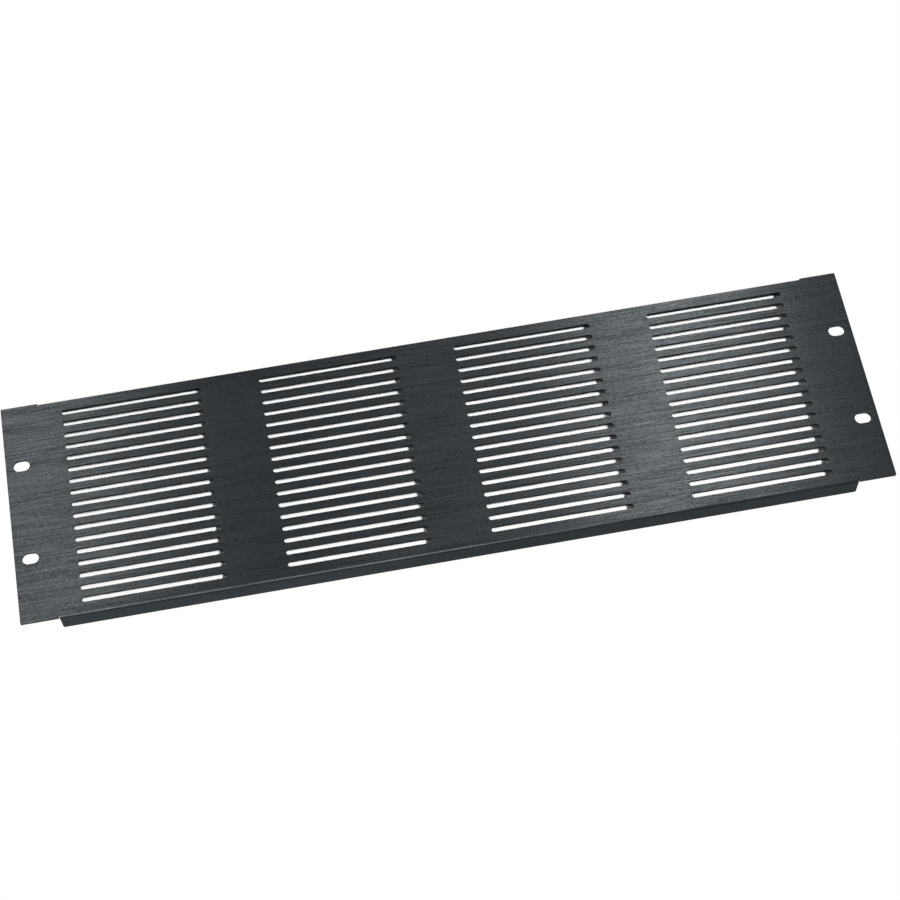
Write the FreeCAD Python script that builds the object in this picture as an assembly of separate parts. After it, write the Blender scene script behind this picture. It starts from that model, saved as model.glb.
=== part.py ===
import FreeCAD, Part
import math
import os

# Vented rack blanking panel, three units high, folded from one aluminium sheet.
# Millimetres. +X runs along the panel, +Z is up, the front face looks along -Y.
# The origin is the centre of the four rack slots, on the plane where the ears meet the rack rails.

os.makedirs("parts", exist_ok=True)

# The sheet and its folds
panel_width = 482.6
panel_height = 132.5
sheet_thickness = 1.6
flange_depth = 13.5
ear_width = 21.0
bend_inner_radius = 0.4
ear_corner_radius = 0.5
flange_corner_radius = 0.8

# The narrow cut that frees each end of a bend from the ear beside it
relief_width = 0.25
relief_past_bend = 0.3

# The open slots for the rack screws, two in each ear
rack_slot_length = 9.1
rack_slot_width = 6.5
rack_slot_edge_distance = 8.75
rack_slot_spacing_z = 57.15

# The vent slots, in groups side by side. Their ends are arcs a little flatter than a half circle.
vent_slot_length = 79.0
vent_slot_width = 3.0
vent_end_depth = 1.17
vent_bar_height = 4.25
vent_group_gap = 33.0
vent_clear_of_flange_end = 8.0
vent_clear_of_bend = 3.5

# What follows from them
back_plane = 0.0
front_plane = back_plane - sheet_thickness
flange_rear = front_plane + flange_depth
bend_outer_radius = bend_inner_radius + sheet_thickness
half_width = panel_width / 2
half_height = panel_height / 2
half_fold = half_width - ear_width
bend_line = half_height - bend_outer_radius

# How far a cutting tool stands out of the metal on each side
overshoot = 1.0


def vector(x, y, z):
    """A point or a direction."""
    return FreeCAD.Vector(x, y, z)


def box(x_low, x_high, y_low, y_high, z_low, z_high):
    """A block between two corners."""
    corner = vector(x_low, y_low, z_low)
    return Part.makeBox(x_high - x_low, y_high - y_low, z_high - z_low, corner)


def quarter_arc(centre, radius, start_angle):
    """A quarter circle in the YZ plane, from start_angle onwards, angles in degrees from +Y to +Z."""
    points = []
    for step in range(3):
        angle = math.radians(start_angle + 45 * step)
        points.append(centre + vector(0, radius * math.cos(angle), radius * math.sin(angle)))
    return Part.Arc(*points).toShape()


def channel_outline():
    """The folded section seen from the end: web, two bends and two flanges, all one thickness."""
    bend_axis_y = front_plane + bend_outer_radius
    upper_axis = vector(-half_fold, bend_axis_y, bend_line)
    lower_axis = vector(-half_fold, bend_axis_y, -bend_line)
    inner_height = half_height - sheet_thickness

    def straight(y_start, z_start, y_end, z_end):
        start = vector(-half_fold, y_start, z_start)
        return Part.makeLine(start, vector(-half_fold, y_end, z_end))

    edges = [
        straight(flange_rear, half_height, bend_axis_y, half_height),
        quarter_arc(upper_axis, bend_outer_radius, 90),
        straight(front_plane, bend_line, front_plane, -bend_line),
        quarter_arc(lower_axis, bend_outer_radius, 180),
        straight(bend_axis_y, -half_height, flange_rear, -half_height),
        straight(flange_rear, -half_height, flange_rear, -inner_height),
        straight(flange_rear, -inner_height, bend_axis_y, -inner_height),
        quarter_arc(lower_axis, bend_inner_radius, 180),
        straight(back_plane, -bend_line, back_plane, bend_line),
        quarter_arc(upper_axis, bend_inner_radius, 90),
        straight(bend_axis_y, inner_height, flange_rear, inner_height),
        straight(flange_rear, inner_height, flange_rear, half_height),
    ]
    return Part.Face(Part.Wire(Part.__sortEdges__(edges)))


def folded_channel():
    """The middle of the panel, with the rear corners of its flanges rounded off."""
    channel = channel_outline().extrude(vector(2 * half_fold, 0, 0))
    corners = []
    for edge in channel.Edges:
        middle = edge.CenterOfMass
        at_end = abs(abs(middle.x) - half_fold) < 1e-6
        at_rear = abs(middle.y - flange_rear) < 1e-6
        if at_end and at_rear:
            corners.append(edge)
    return channel.makeFillet(flange_corner_radius, corners)


def flat_sheet():
    """The whole face before folding, with the strips that fold back taken off top and bottom."""
    sheet = box(-half_width, half_width, front_plane, back_plane, -half_height, half_height)
    corners = []
    for edge in sheet.Edges:
        middle = edge.CenterOfMass
        if abs(abs(middle.x) - half_width) < 1e-6 and abs(abs(middle.z) - half_height) < 1e-6:
            corners.append(edge)
    sheet = sheet.makeFillet(ear_corner_radius, corners)

    y_low = front_plane - overshoot
    y_high = back_plane + overshoot
    z_high = half_height + overshoot
    relief_outer = half_fold + relief_width
    relief_bottom = bend_line - relief_past_bend
    removed = [box(-relief_outer, relief_outer, y_low, y_high, bend_line, z_high)]
    removed.append(box(half_fold, relief_outer, y_low, y_high, relief_bottom, z_high))
    removed.append(box(-relief_outer, -half_fold, y_low, y_high, relief_bottom, z_high))
    for strip in list(removed):
        removed.append(strip.mirror(vector(0, 0, 0), vector(0, 0, 1)))
    return sheet.cut(removed)


def slot_tool(centre_x, centre_z, length, width, end_depth):
    """A round-ended slot along X, as the tool that cuts it right through the sheet.

    Each end is an arc that runs end_depth beyond the straight sides.
    """
    tip = length / 2
    shoulder = tip - end_depth
    side = width / 2

    def corner(x, z):
        return vector(centre_x + x, front_plane - overshoot, centre_z + z)

    outline = Part.Wire([
        Part.makeLine(corner(-shoulder, side), corner(shoulder, side)),
        Part.Arc(corner(shoulder, side), corner(tip, 0), corner(shoulder, -side)).toShape(),
        Part.makeLine(corner(shoulder, -side), corner(-shoulder, -side)),
        Part.Arc(corner(-shoulder, -side), corner(-tip, 0), corner(-shoulder, side)).toShape(),
    ])
    return Part.Face(outline).extrude(vector(0, sheet_thickness + 2 * overshoot, 0))


def centred_row(available, size, gap):
    """Centres of as many equal things as fit in a length, a gap apart and centred on zero."""
    count = int((available + gap) // (size + gap))
    first = -(count - 1) * (size + gap) / 2
    return [first + index * (size + gap) for index in range(count)]


def vent_slots():
    """Every vent slot, group by group, kept clear of the flange ends and the bends."""
    field_width = 2 * (half_fold - vent_clear_of_flange_end)
    field_height = 2 * (bend_line - vent_clear_of_bend)
    tools = []
    for x in centred_row(field_width, vent_slot_length, vent_group_gap):
        for z in centred_row(field_height, vent_slot_width, vent_bar_height):
            tools.append(slot_tool(x, z, vent_slot_length, vent_slot_width, vent_end_depth))
    return tools


def rack_slots():
    """The slots that the rack screws pass through."""
    x = half_width - rack_slot_edge_distance
    z = rack_slot_spacing_z / 2
    full_round = rack_slot_width / 2
    tools = []
    for side in (-1, 1):
        for level in (-1, 1):
            tools.append(slot_tool(side * x, level * z, rack_slot_length, rack_slot_width, full_round))
    return tools


def vent_panel():
    """The finished panel: flat ears, folded middle, vent slots and rack slots."""
    blank = flat_sheet().fuse(folded_channel()).removeSplitter()
    return blank.cut(vent_slots() + rack_slots())


def export(shape, node):
    """Writes one closed solid under its node's name."""
    solid = shape.Solids[0]
    assert len(shape.Solids) == 1 and solid.isValid(), node
    solid.exportStep("parts/" + node + ".step")
    size = solid.BoundBox
    print(node, "volume", round(solid.Volume, 1), "faces", len(solid.Faces))
    print("  x", round(size.XMin, 3), round(size.XMax, 3))
    print("  y", round(size.YMin, 3), round(size.YMax, 3))
    print("  z", round(size.ZMin, 3), round(size.ZMax, 3))


export(vent_panel(), "vent_panel")
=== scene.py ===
import logging
import math
from dataclasses import dataclass
from enum import Enum

import bmesh
import bpy
from mathutils import Matrix, Vector


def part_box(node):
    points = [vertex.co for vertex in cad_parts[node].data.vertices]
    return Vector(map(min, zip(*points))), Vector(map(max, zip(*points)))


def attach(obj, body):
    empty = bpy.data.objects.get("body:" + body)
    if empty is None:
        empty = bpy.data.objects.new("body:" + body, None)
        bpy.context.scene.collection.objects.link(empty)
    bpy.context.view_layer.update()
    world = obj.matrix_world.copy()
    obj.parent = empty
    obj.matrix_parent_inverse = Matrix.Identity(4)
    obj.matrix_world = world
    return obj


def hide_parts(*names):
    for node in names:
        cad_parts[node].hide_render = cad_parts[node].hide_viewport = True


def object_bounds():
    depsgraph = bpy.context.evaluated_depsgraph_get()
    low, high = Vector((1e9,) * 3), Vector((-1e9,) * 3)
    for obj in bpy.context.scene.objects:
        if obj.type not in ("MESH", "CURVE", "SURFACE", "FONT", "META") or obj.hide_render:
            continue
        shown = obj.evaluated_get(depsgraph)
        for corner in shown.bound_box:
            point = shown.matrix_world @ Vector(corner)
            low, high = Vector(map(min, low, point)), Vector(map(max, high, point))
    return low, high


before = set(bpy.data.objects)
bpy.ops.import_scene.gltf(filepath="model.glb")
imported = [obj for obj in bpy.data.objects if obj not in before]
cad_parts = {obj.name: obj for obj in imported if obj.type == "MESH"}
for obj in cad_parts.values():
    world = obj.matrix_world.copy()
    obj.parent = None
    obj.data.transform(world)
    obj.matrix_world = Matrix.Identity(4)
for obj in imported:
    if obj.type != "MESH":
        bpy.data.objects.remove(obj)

# A vented rack panel, folded from brushed and black anodised aluminium, with a white card behind
# its slots. Metres. +X runs along the panel, +Z is up its face, and the face looks along -Y.

MM = 0.001
TINY = 1e-6
BEYOND = 1.0
PANEL_NODE = "vent_panel"
PANEL_BODY = "root"
GRAIN_MAP = "grain"
WARM = (1.0, 0.9, 0.84)

Triple = tuple[float, float, float]
Colour = tuple[float, float, float, float]

logging.basicConfig(level=logging.INFO, format="%(message)s")
log = logging.getLogger("vent_panel")

CAD_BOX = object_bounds()


class Axis(Enum):
    """The frame's three directions, as the index of a coordinate."""

    ALONG = 0
    DEPTH = 1
    UP = 2


class Reach(Enum):
    """What a lamp's light shows on."""

    SHEEN = "the sheen of the metal alone"
    CARD = "the white card and the shadows on it, and not the sheen"


def edges_on(
    bm: bmesh.types.BMesh, axis: Axis, value: float, low: float = -BEYOND, high: float = BEYOND
) -> list[bmesh.types.BMEdge]:
    """Finds the open edges of the sheet that lie in one plane.

    Args:
        bm: The mesh being built.
        axis: The direction that the plane is square to.
        value: Where the plane crosses that direction.
        low: The least coordinate that the edges may have along the other direction of the face.
        high: The greatest coordinate that they may have there.

    Returns:
        The edges, all of them with a face on one side only.
    """
    other = Axis.UP if axis is Axis.ALONG else Axis.ALONG
    found = []
    for edge in bm.edges:
        if not edge.is_boundary:
            continue
        on_plane = all(abs(vert.co[axis.value] - value) < TINY for vert in edge.verts)
        within = all(low - TINY < vert.co[other.value] < high + TINY for vert in edge.verts)
        if on_plane and within:
            found.append(edge)
    return found


def edges_at(
    bm: bmesh.types.BMesh, first: Axis, first_at: float, second: Axis, second_at: float
) -> list[bmesh.types.BMEdge]:
    """Finds the edges that run along the third direction, at the same place on every side.

    Args:
        bm: The mesh being built.
        first: One of the other two directions.
        first_at: How far from the frame's middle the edges lie along it.
        second: The other of the two.
        second_at: How far from the middle they lie along that one.

    Returns:
        The edges.
    """
    found = []
    for edge in bm.edges:
        off = 0.0
        for vert in edge.verts:
            off = max(off, abs(abs(vert.co[first.value]) - first_at))
            off = max(off, abs(abs(vert.co[second.value]) - second_at))
        if off < TINY:
            found.append(edge)
    return found


def verts_in(geom: list) -> list[bmesh.types.BMVert]:
    """Picks the vertices out of what an operator made."""
    return [item for item in geom if isinstance(item, bmesh.types.BMVert)]


def grow(bm: bmesh.types.BMesh, edges: list[bmesh.types.BMEdge], step: Vector) -> None:
    """Extends the sheet from a row of its open edges.

    Args:
        bm: The mesh being built.
        edges: The open edges to start from.
        step: How far and which way the sheet grows.
    """
    made = bmesh.ops.extrude_edge_only(bm, edges=edges)["geom"]
    bmesh.ops.translate(bm, verts=verts_in(made), vec=step)


def repeat(bm: bmesh.types.BMesh, count: int, step: Vector) -> None:
    """Repeats everything in the mesh in a straight row and joins the copies where they touch.

    Args:
        bm: The mesh being built.
        count: How many there are in the end, the first one included.
        step: The distance from one to the next.
    """
    first = bm.verts[:] + bm.edges[:] + bm.faces[:]
    for index in range(1, count):
        copy = bmesh.ops.duplicate(bm, geom=first)["geom"]
        bmesh.ops.translate(bm, verts=verts_in(copy), vec=step * index)
    bmesh.ops.remove_doubles(bm, verts=bm.verts[:], dist=TINY)


def mirrored(bm: bmesh.types.BMesh, axis: str) -> None:
    """Adds the mirror image across the frame's middle, joined along the seam.

    Args:
        bm: The mesh being built.
        axis: The letter of the direction that is turned round.
    """
    geom = bm.verts[:] + bm.edges[:] + bm.faces[:]
    bmesh.ops.mirror(bm, geom=geom, axis=axis, merge_dist=TINY)


def rounded(
    bm: bmesh.types.BMesh, edges: list[bmesh.types.BMEdge], radius: float, segments: int
) -> None:
    """Rounds edges off.

    Args:
        bm: The mesh being built.
        edges: The edges to round.
        radius: How far the rounding reaches to each side.
        segments: How many facets it has.
    """
    bmesh.ops.bevel(
        bm,
        geom=edges,
        offset=radius,
        segments=segments,
        profile=0.5,
        affect="EDGES",
        material=-1,
        clamp_overlap=False,
    )


def combined(
    tree: bpy.types.NodeTree,
    operation: str,
    first: bpy.types.NodeSocket,
    second: float | bpy.types.NodeSocket,
) -> bpy.types.NodeSocket:
    """Adds one sum to a node tree.

    Args:
        tree: The tree being built.
        operation: The kind of sum.
        first: The socket it starts from.
        second: A number or another socket.

    Returns:
        The socket with the answer.
    """
    node = tree.nodes.new("ShaderNodeMath")
    node.operation = operation
    tree.links.new(first, node.inputs[0])
    if isinstance(second, (int, float)):
        node.inputs[1].default_value = second
    else:
        tree.links.new(second, node.inputs[1])
    return node.outputs["Value"]


def seen_directly(tree: bpy.types.NodeTree, ray: bpy.types.Node) -> bpy.types.NodeSocket:
    """Tells the rays that show a background from those that only carry its light.

    Args:
        tree: The tree of the material or the world.
        ray: Its Light Path node.

    Returns:
        A socket that is 1 for camera, glossy and transmission rays.
    """
    answer = ray.outputs["Is Camera Ray"]
    for name in ("Is Glossy Ray", "Is Transmission Ray"):
        answer = combined(tree, "MAXIMUM", answer, ray.outputs[name])
    return answer


@dataclass(frozen=True)
class RoundEndedSlot:
    """An open slot with half-round ends, and the tile of sheet that surrounds it."""

    length: float
    width: float
    tile_height: float
    arc_steps: int

    @property
    def shoulder(self) -> float:
        """Where the straight sides end and the rounding starts."""
        return (self.length - self.width) / 2

    @property
    def tile_length(self) -> float:
        """The tile is square round each rounded end."""
        return 2 * self.shoulder + self.tile_height

    def tile(self) -> bmesh.types.BMesh:
        """Makes one tile of flat sheet with its slot, centred on the frame's origin.

        Returns:
            A new mesh in the plane of the face.
        """
        bm = bmesh.new()
        half = self.tile_height / 2
        quarter = self.arc_steps // 4
        start = bm.verts.new((self.shoulder, 0.0, self.width / 2))
        bmesh.ops.spin(
            bm,
            geom=[start],
            cent=(self.shoulder, 0.0, 0.0),
            axis=(0.0, 1.0, 0.0),
            angle=math.pi,
            steps=self.arc_steps,
        )
        tip = bm.verts.new((self.shoulder, 0.0, half))
        stride = half / quarter
        for way in ((stride, 0, 0), (0, 0, -stride), (0, 0, -stride), (-stride, 0, 0)):
            for _ in range(quarter):
                made = bmesh.ops.extrude_vert_indiv(bm, verts=[tip])
                bmesh.ops.translate(bm, verts=made["verts"], vec=way)
                tip = made["verts"][0]
        bmesh.ops.bridge_loops(bm, edges=bm.edges[:])
        grow(bm, edges_on(bm, Axis.ALONG, self.shoulder), Vector((-self.shoulder, 0, 0)))
        mirrored(bm, "X")
        return bm


@dataclass(frozen=True)
class SlotField:
    """The vent slots: groups side by side, each a column of equal rows."""

    slot: RoundEndedSlot = RoundEndedSlot(
        length=79.0 * MM, width=3.0 * MM, tile_height=7.25 * MM, arc_steps=12
    )
    rows: int = 17
    groups: int = 4
    group_pitch: float = 112.0 * MM

    @property
    def half_height(self) -> float:
        """From the middle of the panel to the edge of the last row's tile."""
        return self.rows * self.slot.tile_height / 2

    @property
    def half_length(self) -> float:
        """From the middle of the panel to the side of the last group's tiles."""
        return (self.groups - 1) * self.group_pitch / 2 + self.slot.tile_length / 2

    def right_half(self) -> bmesh.types.BMesh:
        """Makes the groups on the right, with the plain sheet beside them up to the middle.

        Returns:
            A new mesh whose open side lies on the panel's middle.
        """
        bm = self.slot.tile()
        half = self.slot.tile_length / 2
        repeat(bm, self.rows, Vector((0, 0, self.slot.tile_height)))
        first = Vector((self.group_pitch / 2, 0, self.slot.tile_height / 2 - self.half_height))
        bmesh.ops.translate(bm, verts=bm.verts[:], vec=first)
        repeat(bm, self.groups // 2, Vector((self.group_pitch, 0, 0)))
        for group in range(self.groups // 2 - 1):
            centre = self.group_pitch * (group + 0.5)
            facing = edges_on(bm, Axis.ALONG, centre + half)
            facing += edges_on(bm, Axis.ALONG, centre + self.group_pitch - half)
            bmesh.ops.bridge_loops(bm, edges=facing)
        inner = self.group_pitch / 2 - half
        grow(bm, edges_on(bm, Axis.ALONG, inner), Vector((-inner, 0, 0)))
        return bm


@dataclass(frozen=True)
class Ear:
    """One flat ear with its two slots for the rack screws."""

    slot: RoundEndedSlot = RoundEndedSlot(
        length=9.1 * MM, width=6.5 * MM, tile_height=10.5 * MM, arc_steps=24
    )
    width: float = 21.0 * MM
    slot_from_side: float = 8.75 * MM
    slot_spacing: float = 57.15 * MM
    corner_radius: float = 0.5 * MM

    def add_to(
        self, bm: bmesh.types.BMesh, side: float, top: float, shelf: float, relief: float
    ) -> None:
        """Makes the right ear in its place.

        Args:
            bm: The mesh that the ear is added to.
            side: Where the panel's right side is.
            top: Where the panel's top edge is.
            shelf: The height up to which the ear hangs on the rest of the panel.
            relief: The width of the cut above that height, next to the fold.
        """
        ear = self.slot.tile()
        place = Vector((side - self.slot_from_side, 0, self.slot_spacing / 2))
        bmesh.ops.translate(ear, verts=ear.verts[:], vec=place)
        left = place.x - self.slot.tile_length / 2
        right = place.x + self.slot.tile_length / 2
        low = place.z - self.slot.tile_height / 2
        high = place.z + self.slot.tile_height / 2
        beside_cut = side - self.width + relief
        grow(ear, edges_on(ear, Axis.ALONG, right), Vector((side - right, 0, 0)))
        grow(ear, edges_on(ear, Axis.ALONG, left), Vector((beside_cut - left, 0, 0)))
        grow(ear, edges_on(ear, Axis.ALONG, beside_cut), Vector((-relief, 0, 0)))
        grow(ear, edges_on(ear, Axis.UP, low), Vector((0, 0, -low)))
        grow(ear, edges_on(ear, Axis.UP, high), Vector((0, 0, shelf - high)))
        grow(ear, edges_on(ear, Axis.UP, shelf, beside_cut), Vector((0, 0, top - shelf)))
        mirrored(ear, "Z")
        made = bpy.data.meshes.new("ear")
        ear.to_mesh(made)
        ear.free()
        bm.from_mesh(made)
        bpy.data.meshes.remove(made)


@dataclass(frozen=True)
class Fold:
    """The fold along the top and the bottom edge, and the flange behind it."""

    inner_radius: float = 0.4 * MM
    relief_width: float = 0.25 * MM
    relief_past_bend: float = 0.3 * MM
    flange_corner_radius: float = 0.8 * MM
    steps: int = 8

    def bend(
        self, bm: bmesh.types.BMesh, line: float, axis_depth: float, rear: float, reach: float
    ) -> None:
        """Folds the sheet's open rim back at both the top and the bottom.

        Args:
            bm: The flat sheet, with its thickness.
            line: The height at which the bend starts.
            axis_depth: How deep the bend's axis lies.
            rear: How deep the flange reaches.
            reach: Half the length of the fold.
        """
        for turn in (1, -1):
            rim = []
            for face in bm.faces:
                level = all(abs(vert.co.z - turn * line) < TINY for vert in face.verts)
                if level and all(abs(vert.co.x) < reach + TINY for vert in face.verts):
                    rim.append(face)
            bent = bmesh.ops.spin(
                bm,
                geom=rim,
                cent=(0.0, axis_depth, turn * line),
                axis=(1.0, 0.0, 0.0),
                angle=-turn * math.pi / 2,
                steps=self.steps,
            )["geom_last"]
            faces = [item for item in bent if isinstance(item, bmesh.types.BMFace)]
            made = bmesh.ops.extrude_face_region(bm, geom=faces)["geom"]
            bmesh.ops.delete(bm, geom=rim + faces, context="FACES")
            bmesh.ops.translate(bm, verts=verts_in(made), vec=(0.0, rear - axis_depth, 0.0))


@dataclass(frozen=True)
class BrushedAnodised:
    """Aluminium brushed along the panel's length and then anodised black, satin."""

    name: str = "black_anodised_brushed"
    dark: Colour = (0.0085, 0.0110, 0.0125, 1.0)
    light: Colour = (0.0295, 0.0350, 0.0390, 1.0)
    metallic: float = 1.0
    edge_tint: Colour = (0.58, 0.6, 0.61, 1.0)
    roughness_low: float = 0.18
    roughness_high: float = 0.33
    anisotropy: float = 0.74
    across_the_grain: float = 0.25
    strand_length: float = 26 * MM
    strand_pitch: float = 0.48 * MM
    scratch_depth: float = 0.12 * MM
    scratch_strength: float = 0.6

    def material(self, grain: bpy.types.NodeTree) -> bpy.types.Material:
        """Builds the finish.

        Args:
            grain: The node group that draws the brushing.

        Returns:
            The material.
        """
        made = bpy.data.materials.new(self.name)
        made.use_nodes = True
        nodes = made.node_tree.nodes
        links = made.node_tree.links
        nodes.clear()
        output = nodes.new("ShaderNodeOutputMaterial")
        shader = nodes.new("ShaderNodeBsdfPrincipled")
        links.new(shader.outputs["BSDF"], output.inputs["Surface"])
        shader.inputs["Metallic"].default_value = self.metallic
        shader.inputs["Specular Tint"].default_value = self.edge_tint
        shader.inputs["Anisotropic"].default_value = self.anisotropy
        shader.inputs["Anisotropic Rotation"].default_value = self.across_the_grain

        tangent = nodes.new("ShaderNodeTangent")
        tangent.direction_type = "UV_MAP"
        tangent.uv_map = GRAIN_MAP
        links.new(tangent.outputs["Tangent"], shader.inputs["Tangent"])

        place = nodes.new("ShaderNodeTexCoord")
        brushed = nodes.new("ShaderNodeGroup")
        brushed.node_tree = grain
        brushed.inputs["Strand Length"].default_value = self.strand_length
        brushed.inputs["Strand Pitch"].default_value = self.strand_pitch
        links.new(place.outputs["Object"], brushed.inputs["Position"])

        tone = nodes.new("ShaderNodeMix")
        tone.data_type = "RGBA"
        tone.inputs["A"].default_value = self.dark
        tone.inputs["B"].default_value = self.light
        links.new(brushed.outputs["Tone"], tone.inputs["Factor"])
        links.new(tone.outputs["Result"], shader.inputs["Base Color"])

        gloss = nodes.new("ShaderNodeMapRange")
        gloss.inputs["To Min"].default_value = self.roughness_high
        gloss.inputs["To Max"].default_value = self.roughness_low
        links.new(brushed.outputs["Tone"], gloss.inputs["Value"])
        links.new(gloss.outputs["Result"], shader.inputs["Roughness"])

        relief = nodes.new("ShaderNodeBump")
        relief.inputs["Strength"].default_value = self.scratch_strength
        relief.inputs["Distance"].default_value = self.scratch_depth
        links.new(brushed.outputs["Depth"], relief.inputs["Height"])
        links.new(relief.outputs["Normal"], shader.inputs["Normal"])
        return made


@dataclass(frozen=True)
class GrainLayer:
    """One layer of brush strands, measured against the group's own strand."""

    longer: float
    coarser: float
    detail: float
    share: float


@dataclass(frozen=True)
class BrushedGrain:
    """The node group that draws brush strands along X."""

    name: str = "brushed_grain"
    layers: tuple[GrainLayer, ...] = (
        GrainLayer(longer=1.0, coarser=1.0, detail=1.0, share=0.45),
        GrainLayer(longer=0.06, coarser=1.0, detail=1.0, share=0.4),
        GrainLayer(longer=2.4, coarser=14.0, detail=2.0, share=0.15),
    )
    fineness: float = 0.6
    middle: float = 0.5
    contrast: float = 3.1

    def group(self) -> bpy.types.NodeTree:
        """Builds the group.

        Returns:
            A node group that puts out the tone and the depth of the strands.
        """
        tree = bpy.data.node_groups.new(self.name, "ShaderNodeTree")
        for name, kind in (
            ("Position", "NodeSocketVector"),
            ("Strand Length", "NodeSocketFloat"),
            ("Strand Pitch", "NodeSocketFloat"),
        ):
            tree.interface.new_socket(name=name, in_out="INPUT", socket_type=kind)
        for name in ("Tone", "Depth"):
            tree.interface.new_socket(name=name, in_out="OUTPUT", socket_type="NodeSocketFloat")
        given = tree.nodes.new("NodeGroupInput")
        result = tree.nodes.new("NodeGroupOutput")
        split = tree.nodes.new("ShaderNodeSeparateXYZ")
        tree.links.new(given.outputs["Position"], split.inputs["Vector"])

        total = None
        for layer in self.layers:
            strands = self.strands(tree, given, split, layer)
            weighted = combined(tree, "MULTIPLY", strands, layer.share)
            total = weighted if total is None else combined(tree, "ADD", total, weighted)
        spread = combined(tree, "SUBTRACT", total, self.middle)
        spread = combined(tree, "MULTIPLY", spread, self.contrast)
        tone = combined(tree, "ADD", spread, self.middle)
        tone.node.use_clamp = True
        tree.links.new(tone, result.inputs["Tone"])
        tree.links.new(total, result.inputs["Depth"])
        return tree

    def strands(
        self,
        tree: bpy.types.NodeTree,
        given: bpy.types.Node,
        split: bpy.types.Node,
        layer: GrainLayer,
    ) -> bpy.types.NodeSocket:
        """Draws one layer of strands.

        Args:
            tree: The group being built.
            given: The group's inputs.
            split: The position, taken apart.
            layer: How long and how coarse these strands are.

        Returns:
            The socket that gives the strands, from 0 to 1.
        """
        long = combined(tree, "MULTIPLY", given.outputs["Strand Length"], layer.longer)
        wide = combined(tree, "MULTIPLY", given.outputs["Strand Pitch"], layer.coarser)
        joined = tree.nodes.new("ShaderNodeCombineXYZ")
        for letter, size in (("X", long), ("Y", wide), ("Z", wide)):
            share = combined(tree, "DIVIDE", split.outputs[letter], size)
            tree.links.new(share, joined.inputs[letter])
        noise = tree.nodes.new("ShaderNodeTexNoise")
        noise.inputs["Scale"].default_value = 1.0
        noise.inputs["Detail"].default_value = layer.detail
        noise.inputs["Roughness"].default_value = self.fineness
        tree.links.new(joined.outputs["Vector"], noise.inputs["Vector"])
        return noise.outputs["Fac"]


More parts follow.
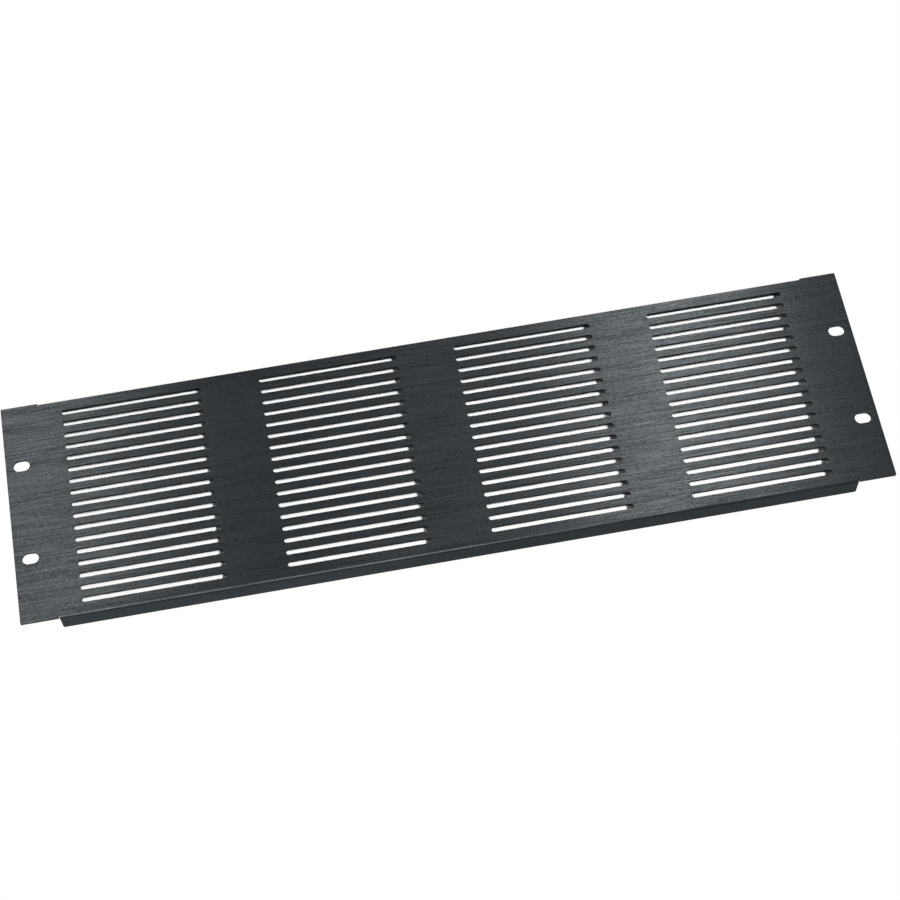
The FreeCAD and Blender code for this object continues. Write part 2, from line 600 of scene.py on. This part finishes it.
@dataclass(frozen=True)
class VentPanel:
    """The whole panel: one sheet, cut, folded and finished."""

    thickness: float = 1.6 * MM
    field: SlotField = SlotField()
    ear: Ear = Ear()
    fold: Fold = Fold()
    edge_break: float = 0.1 * MM
    edge_segments: int = 2
    corner_segments: int = 5
    sharp_angle: float = math.radians(60)
    facing_end: float = 0.7
    facing_front: float = 0.5
    flat_share: int = 100
    finish: BrushedAnodised = BrushedAnodised()

    def build(self) -> bpy.types.Object:
        """Makes the panel in the place of its CAD node.

        Returns:
            The finished piece.
        """
        low, high = (Vector(corner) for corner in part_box(PANEL_NODE))
        side, top = high.x, high.z
        front, rear = low.y, high.y
        bend_line = top - self.thickness - self.fold.inner_radius
        fold_end = side - self.ear.width

        bm = self.flat_sheet(side, top, bend_line, fold_end)
        bmesh.ops.translate(bm, verts=bm.verts[:], vec=(0, front, 0))
        self.thicken(bm)
        axis_depth = front + self.thickness + self.fold.inner_radius
        self.fold.bend(bm, bend_line, axis_depth, rear, fold_end)
        bmesh.ops.remove_doubles(bm, verts=bm.verts[:], dist=TINY)
        bmesh.ops.recalc_face_normals(bm, faces=bm.faces[:])
        self.round_corners(bm, side, top, rear, fold_end)
        self.break_edges(bm)
        self.map_grain(bm)
        return self.piece(bm)

    def flat_sheet(
        self, side: float, top: float, bend_line: float, fold_end: float
    ) -> bmesh.types.BMesh:
        """Cuts the flat sheet up to the line where the bends start.

        Args:
            side: Where the right side is.
            top: Where the top edge of the ears is.
            bend_line: Where the upper bend starts.
            fold_end: Where the fold ends, beside the right ear.

        Returns:
            The sheet's front face as an open mesh in the plane y = 0.
        """
        shelf = bend_line - self.fold.relief_past_bend
        bm = self.field.right_half()
        edge = self.field.half_height
        for turn in (1, -1):
            step = Vector((0, 0, turn * (shelf - edge)))
            grow(bm, edges_on(bm, Axis.UP, turn * edge), step)
        self.ear.add_to(bm, side, top, shelf, self.fold.relief_width)
        self.join_ear(bm, fold_end, shelf)
        mirrored(bm, "X")
        for turn in (1, -1):
            rim = edges_on(bm, Axis.UP, turn * shelf, -fold_end, fold_end)
            grow(bm, rim, Vector((0, 0, turn * self.fold.relief_past_bend)))
        return bm

    def join_ear(self, bm: bmesh.types.BMesh, fold_end: float, shelf: float) -> None:
        """Fills the plain strip of sheet between the last vent slots and the right ear.

        Args:
            bm: The right half of the sheet.
            fold_end: Where the ear starts.
            shelf: The height up to which the ear hangs on the sheet.
        """
        inner = edges_on(bm, Axis.ALONG, self.field.half_length)
        outer = edges_on(bm, Axis.ALONG, fold_end, -shelf, shelf)
        border = inner + outer
        for turn in (1, -1):
            ends = []
            for edges in (inner, outer):
                verts = {vert for edge in edges for vert in edge.verts}
                ends.append(max(verts, key=lambda vert: turn * vert.co.z))
            border.append(bm.edges.new(ends))
        bmesh.ops.triangle_fill(bm, edges=border, use_beauty=True)

    def thicken(self, bm: bmesh.types.BMesh) -> None:
        """Gives the flat sheet its thickness, towards the back.

        Args:
            bm: The sheet's front face.
        """
        made = bmesh.ops.extrude_face_region(bm, geom=bm.faces[:], use_keep_orig=True)["geom"]
        bmesh.ops.translate(bm, verts=verts_in(made), vec=(0, self.thickness, 0))

    def round_corners(
        self, bm: bmesh.types.BMesh, side: float, top: float, rear: float, fold_end: float
    ) -> None:
        """Rounds the ears' outer corners and the rear corners of the flanges.

        Args:
            bm: The folded sheet.
            side: Where the right side is.
            top: Where the top edge is.
            rear: How deep the flanges reach.
            fold_end: Where the fold ends.
        """
        ear_corners = edges_at(bm, Axis.ALONG, side, Axis.UP, top)
        flange_corners = edges_at(bm, Axis.ALONG, fold_end, Axis.DEPTH, rear)
        rounded(bm, ear_corners, self.ear.corner_radius, self.corner_segments)
        rounded(bm, flange_corners, self.fold.flange_corner_radius, self.corner_segments)

    def break_edges(self, bm: bmesh.types.BMesh) -> None:
        """Takes the sharpness off every cut edge, as deburring does.

        Args:
            bm: The folded sheet, with its corners rounded.
        """
        sharp = [edge for edge in bm.edges if edge.calc_face_angle(0.0) > self.sharp_angle]
        rounded(bm, sharp, self.edge_break, self.edge_segments)

    def map_grain(self, bm: bmesh.types.BMesh) -> None:
        """Lays the grain map on the sheet, with its first direction along the brushing.

        Args:
            bm: The whole panel.
        """
        layer = bm.loops.layers.uv.new(GRAIN_MAP)
        bm.normal_update()
        for face in bm.faces:
            at_end = abs(face.normal.x) > self.facing_end
            flat = abs(face.normal.y) > self.facing_front
            for loop in face.loops:
                x, y, z = loop.vert.co
                if at_end:
                    loop[layer].uv = (z, y)
                else:
                    loop[layer].uv = (x, z) if flat else (x, y)

    def piece(self, bm: bmesh.types.BMesh) -> bpy.types.Object:
        """Turns the mesh into the finished piece and gives it its finish.

        Args:
            bm: The whole panel.

        Returns:
            The object, which rides on the frame.
        """
        for face in bm.faces:
            face.smooth = True
        mesh = bpy.data.meshes.new("folded_sheet")
        bm.to_mesh(mesh)
        bm.free()
        mesh.materials.append(self.finish.material(BrushedGrain().group()))
        panel = bpy.data.objects.new("folded_sheet", mesh)
        bpy.context.scene.collection.objects.link(panel)
        even = panel.modifiers.new("even_shading", "WEIGHTED_NORMAL")
        even.mode = "FACE_AREA"
        even.weight = self.flat_share
        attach(panel, PANEL_BODY)
        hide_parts(PANEL_NODE)
        return panel


@dataclass(frozen=True)
class Card:
    """The white card between the flanges, which shows through the slots.

    It has a front only and casts no shadow, so that the panel's back can be seen and lit.
    """

    length: float = 440.4 * MM
    height: float = 129.1 * MM
    before_flange_rear: float = 2.0 * MM
    white: Colour = (0.8, 0.8, 0.8, 1.0)
    seen_white: Colour = (1.0, 1.0, 1.0, 1.0)

    def build(self) -> bpy.types.Object:
        """Makes the card, a little nearer to the face than the flanges' rear edges.

        Returns:
            The card, which isn't part of the object.
        """
        bm = bmesh.new()
        bmesh.ops.create_grid(bm, x_segments=1, y_segments=1, size=0.5)
        bmesh.ops.scale(bm, verts=bm.verts[:], vec=(self.length, self.height, 1.0))
        upright = Matrix.Rotation(math.pi / 2, 3, "X")
        bmesh.ops.rotate(bm, verts=bm.verts[:], cent=(0, 0, 0), matrix=upright)
        depth = CAD_BOX[1].y - self.before_flange_rear
        bmesh.ops.translate(bm, verts=bm.verts[:], vec=(0, depth, 0))
        mesh = bpy.data.meshes.new("card")
        bm.to_mesh(mesh)
        bm.free()
        mesh.materials.append(self.material())
        card = bpy.data.objects.new("card", mesh)
        bpy.context.scene.collection.objects.link(card)
        return card

    def material(self) -> bpy.types.Material:
        """Builds the white of the card's front. Its back and its shadow are clear.

        Returns:
            The material.
        """
        made = bpy.data.materials.new("white_card")
        made.use_nodes = True
        tree = made.node_tree
        tree.nodes.clear()
        output = tree.nodes.new("ShaderNodeOutputMaterial")
        white = tree.nodes.new("ShaderNodeBsdfDiffuse")
        clear = tree.nodes.new("ShaderNodeBsdfTransparent")
        ray = tree.nodes.new("ShaderNodeLightPath")
        shade = tree.nodes.new("ShaderNodeMix")
        shade.data_type = "RGBA"
        shade.inputs["A"].default_value = self.white
        shade.inputs["B"].default_value = self.seen_white
        tree.links.new(seen_directly(tree, ray), shade.inputs["Factor"])
        tree.links.new(shade.outputs["Result"], white.inputs["Color"])
        face = tree.nodes.new("ShaderNodeNewGeometry")
        passing = combined(
            tree, "MAXIMUM", face.outputs["Backfacing"], ray.outputs["Is Shadow Ray"]
        )
        choice = tree.nodes.new("ShaderNodeMixShader")
        tree.links.new(passing, choice.inputs["Fac"])
        tree.links.new(white.outputs["BSDF"], choice.inputs[1])
        tree.links.new(clear.outputs["BSDF"], choice.inputs[2])
        tree.links.new(choice.outputs["Shader"], output.inputs["Surface"])
        return made


@dataclass(frozen=True)
class StudioLamp:
    """One lamp, which looks at a point of the panel."""

    name: str
    place: Triple
    power: float
    size: tuple[float, float]
    reach: Reach
    colour: Triple = (1.0, 1.0, 1.0)
    aim: Triple = (0.0, 0.0, 0.0)

    def build(self) -> bpy.types.Object:
        """Makes the lamp.

        Returns:
            The lamp's object.
        """
        light = bpy.data.lights.new(self.name, "AREA")
        light.energy = self.power
        light.color = self.colour
        light.shape = "RECTANGLE"
        light.size, light.size_y = self.size
        lamp = bpy.data.objects.new(self.name, light)
        place = Vector(self.place)
        lamp.location = place
        lamp.rotation_euler = (Vector(self.aim) - place).to_track_quat("-Z", "Y").to_euler()
        bpy.context.scene.collection.objects.link(lamp)
        lamp.visible_camera = False
        lamp.visible_diffuse = self.reach is Reach.CARD
        lamp.visible_glossy = self.reach is Reach.SHEEN
        return lamp


@dataclass(frozen=True)
class SoftBox:
    """A soft box bent round the panel's length, so that it shows in the face and in the bends.

    Its lowest and highest ends are angles above the level of the panel's middle, in degrees.
    """

    name: str
    across: float
    width: float
    radiance: float
    lowest: float
    highest: float
    panels: int
    colour: Triple = WARM
    distance: float = 1.7
    behind: bool = False

    def lamps(self) -> list[StudioLamp]:
        """Splits the curve into flat lamps, edge to edge.

        Returns:
            The lamps, from the lowest to the highest.
        """
        start = math.radians(self.lowest)
        step = (math.radians(self.highest) - start) / self.panels
        height = 2 * self.distance * math.tan(step / 2)
        power = self.radiance * math.pi * self.width * height
        way = self.distance if self.behind else -self.distance
        found = []
        for index in range(self.panels):
            angle = start + step * (index + 0.5)
            lamp = StudioLamp(
                name=f"{self.name}_{index}",
                place=(self.across, way * math.cos(angle), self.distance * math.sin(angle)),
                power=power,
                size=(self.width, height),
                reach=Reach.SHEEN,
                colour=self.colour,
                aim=(self.across, 0.0, 0.0),
            )
            found.append(lamp)
        return found


@dataclass(frozen=True)
class Studio:
    """The light: small lamps for the card, soft boxes that the metal mirrors, and a dim room."""

    ambient: Colour = (0.13, 0.13, 0.13, 1.0)
    backdrop: Colour = (1.0, 1.0, 1.0, 1.0)
    lamps: tuple[StudioLamp, ...] = (
        StudioLamp("key", (0.49, -2.3, -1.095), 69.0, (0.15, 0.15), Reach.CARD),
        StudioLamp("fill", (-0.3, -1.9, -0.70), 2.8, (0.1, 0.1), Reach.CARD),
        StudioLamp("second_key", (1.54, -1.54, 0.93), 60.0, (0.08, 0.08), Reach.CARD),
        StudioLamp("low_rear_box", (-0.25, 1.2, -0.72), 0.35, (0.55, 0.5), Reach.SHEEN),
    )
    boxes: tuple[SoftBox, ...] = (
        SoftBox("left_box", -0.455, width=0.27, radiance=5.0, lowest=-40, highest=95, panels=4),
        SoftBox("middle_box", 0.07, width=0.30, radiance=0.72, lowest=-20, highest=95, panels=4),
        SoftBox("right_box", 0.441, width=0.25, radiance=7.9, lowest=-52, highest=95, panels=4),
        SoftBox("low_box", -0.45, width=1.4, radiance=8.0, lowest=-76, highest=-42, panels=1),
        SoftBox("rear_left_box", -1.3, 0.9, 3.0, -45, 80, 3, distance=1.2, behind=True),
        SoftBox("rear_right_box", 1.3, 0.9, 3.5, -45, 80, 3, distance=1.2, behind=True),
    )

    def build(self) -> None:
        """Makes the lamps and the room round them."""
        curved = [lamp for box in self.boxes for lamp in box.lamps()]
        for lamp in (*self.lamps, *curved):
            lamp.build()
            log.info("lamp %s, %.2f W", lamp.name, lamp.power)
        world = bpy.data.worlds.new("room")
        bpy.context.scene.world = world
        world.use_nodes = True
        tree = world.node_tree
        tree.nodes.clear()
        output = tree.nodes.new("ShaderNodeOutputWorld")
        light = tree.nodes.new("ShaderNodeBackground")
        ray = tree.nodes.new("ShaderNodeLightPath")
        shade = tree.nodes.new("ShaderNodeMix")
        shade.data_type = "RGBA"
        shade.inputs["A"].default_value = self.ambient
        shade.inputs["B"].default_value = self.backdrop
        tree.links.new(seen_directly(tree, ray), shade.inputs["Factor"])
        tree.links.new(shade.outputs["Result"], light.inputs["Color"])
        tree.links.new(light.outputs["Background"], output.inputs["Surface"])


@dataclass(frozen=True)
class Viewpoint:
    """The camera, below and in front of the panel, turned a little on its own axis."""

    place: Triple = (-0.07277, -1.0452, -0.53747)
    heading: float = math.radians(4.149)
    rise: float = math.radians(26.937)
    roll: float = math.radians(-11.413)
    lens: float = 84.618
    sensor: float = 36.0
    nearest: float = 10 * MM

    def build(self) -> bpy.types.Object:
        """Makes the camera.

        Returns:
            The camera's object.
        """
        data = bpy.data.cameras.new("view")
        data.lens = self.lens
        data.sensor_width = self.sensor
        data.sensor_fit = "HORIZONTAL"
        data.clip_start = self.nearest
        camera = bpy.data.objects.new("view", data)
        turned = Matrix.Rotation(-self.heading, 4, "Z")
        tilted = Matrix.Rotation(math.pi / 2 + self.rise, 4, "X")
        rolled = Matrix.Rotation(self.roll, 4, "Z")
        camera.matrix_world = Matrix.Translation(self.place) @ turned @ tilted @ rolled
        bpy.context.scene.collection.objects.link(camera)
        bpy.context.scene.camera = camera
        return camera


def main() -> None:
    """Builds the panel, the card, the light and the camera, in that order."""
    for piece in (VentPanel().build(), Card().build()):
        log.info("piece %s, %d faces", piece.name, len(piece.data.polygons))
    Studio().build()
    Viewpoint().build()
    bpy.context.scene.view_settings.view_transform = "Standard"


if __name__ == "__main__":
    main()
